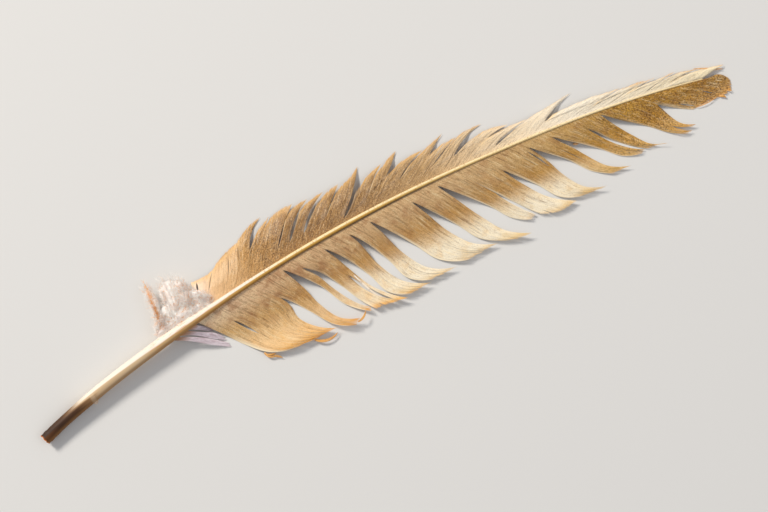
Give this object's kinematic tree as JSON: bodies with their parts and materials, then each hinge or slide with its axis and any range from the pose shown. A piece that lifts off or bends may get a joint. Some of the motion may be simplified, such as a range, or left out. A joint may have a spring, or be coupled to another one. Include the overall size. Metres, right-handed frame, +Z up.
{
  "type": "turkey wing feather",
  "caption": "Long turkey wing feather lying on its underside, with an arched shaft cut at the quill, golden brown vanes split into curved lobes, and a tuft of pale down at the base.",
  "frame": {"origin": "middle of the footprint, on the surface that the feather lies on", "axes": "+X from the cut quill end to the tip, +Y to the side of the narrow leading vane, +Z up"},
  "size_m": [0.3205, 0.0581, 0.0081],
  "materials": {
    "quill": "polished ivory to golden keratin, dark and translucent at the cut end",
    "wide_vane": "zipped barbs, mottled golden brown with a silky sheen along them",
    "narrow_vane": "zipped barbs, speckled brown, paling to cream towards the tip",
    "strand": "loose pale barbs, dry and matte",
    "down": "soft pinkish white down with a few orange fibres"
  },
  "bodies": {
    "root": {"shaft": "quill", "wide_lobe_01": "wide_vane", "wide_lobe_02": "wide_vane", "wide_lobe_03": "wide_vane", "wide_lobe_04": "wide_vane", "wide_lobe_05": "wide_vane", "wide_lobe_06": "wide_vane", "wide_lobe_07": "wide_vane", "wide_lobe_08": "wide_vane", "wide_lobe_09": "wide_vane", "wide_lobe_10": "wide_vane", "wide_lobe_11": "wide_vane", "wide_lobe_12": "wide_vane", "wide_lobe_13": "wide_vane", "wide_lobe_14": "wide_vane", "wide_lobe_15": "wide_vane", "wide_lobe_16": "wide_vane", "narrow_lobe_01": "narrow_vane", "narrow_lobe_02": "narrow_vane", "narrow_lobe_03": "narrow_vane", "narrow_lobe_04": "narrow_vane", "narrow_lobe_05": "narrow_vane", "narrow_lobe_06": "narrow_vane", "narrow_lobe_07": "narrow_vane", "narrow_lobe_08": "narrow_vane", "narrow_lobe_09": "narrow_vane", "narrow_lobe_10": "narrow_vane", "narrow_lobe_11": "narrow_vane", "narrow_lobe_12": "narrow_vane", "narrow_lobe_13": "narrow_vane", "narrow_lobe_14": "narrow_vane", "narrow_lobe_15": "narrow_vane", "narrow_lobe_16": "narrow_vane", "narrow_lobe_17": "narrow_vane", "narrow_lobe_18": "narrow_vane", "narrow_lobe_19": "narrow_vane", "narrow_lobe_20": "narrow_vane", "narrow_lobe_21": "narrow_vane", "narrow_lobe_22": "narrow_vane", "narrow_lobe_23": "narrow_vane", "base_strand_1": "strand", "base_strand_2": "strand", "base_strand_3": "strand", "down_tuft_near": "down", "down_tuft_far": "down"}
  },
  "joints": []
}
